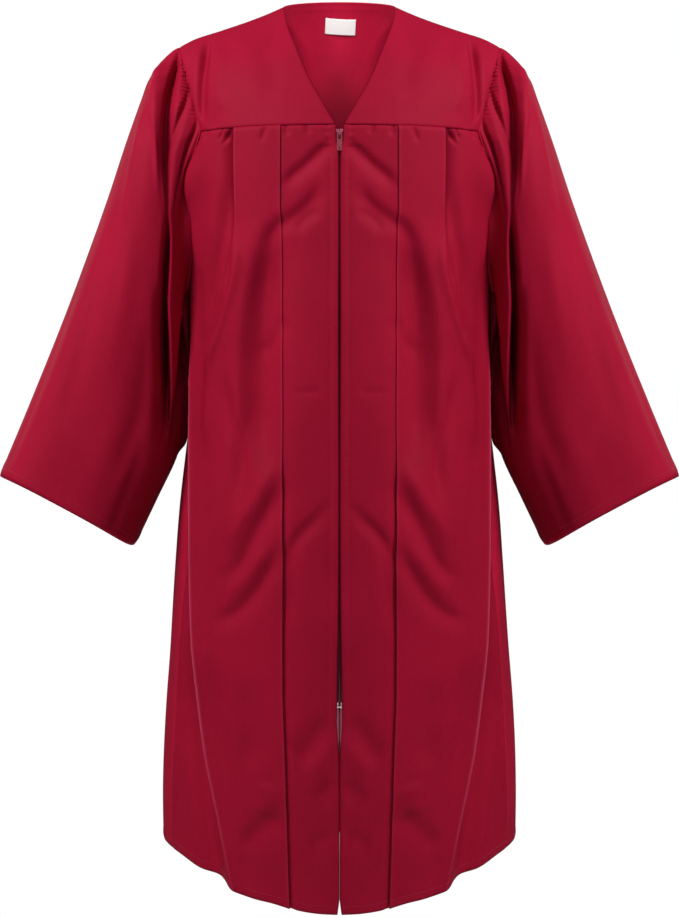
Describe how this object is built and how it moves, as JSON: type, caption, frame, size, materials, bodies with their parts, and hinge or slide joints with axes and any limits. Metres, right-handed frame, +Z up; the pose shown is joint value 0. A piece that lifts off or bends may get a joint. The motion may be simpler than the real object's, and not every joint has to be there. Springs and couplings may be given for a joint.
{
  "type": "graduation gown",
  "caption": "Knee-length graduation gown in its worn, hollow form, with a V neck, yokes, pleated fronts, open bell sleeves and a front zip whose pull tab swings.",
  "frame": {"origin": "midway between the two points where the shoulder seams meet the neck edge, at the height of those points: where a wearer's shoulders carry the gown", "axes": "+Z up, +X to the wearer's left, the front with the zip faces -Y"},
  "size_m": [0.885, 0.3379, 1.1602],
  "materials": {
    "crimson_cloth": "plain woven polyester, matt with a soft sheen",
    "zip_tape": "woven tape",
    "zip_teeth": "dyed nylon coil",
    "painted_metal": "semi-gloss enamel",
    "bright_metal": "plated, bright",
    "label_cloth": "woven satin label, bare"
  },
  "bodies": {
    "gown": {"front_yoke_left": "crimson_cloth", "front_yoke_right": "crimson_cloth", "back_yoke": "crimson_cloth", "front_panel_left": "crimson_cloth", "front_panel_right": "crimson_cloth", "back_panel": "crimson_cloth", "sleeve_left": "crimson_cloth", "sleeve_right": "crimson_cloth", "zip_tape_left": "zip_tape", "zip_tape_right": "zip_tape", "zip_chain": "zip_teeth", "zip_slider": "painted_metal", "zip_bottom_stop": "bright_metal", "size_label": "label_cloth"},
    "pull_tab": {"zip_pull_tab": "painted_metal"}
  },
  "joints": [
    {"name": "pull_tab_swing", "type": "hinge", "parent": "gown", "child": "pull_tab", "pos_m": [0, -0.11609, -0.17061], "axis": [-1, 0, 0], "range_deg": [0, 170]}
  ]
}
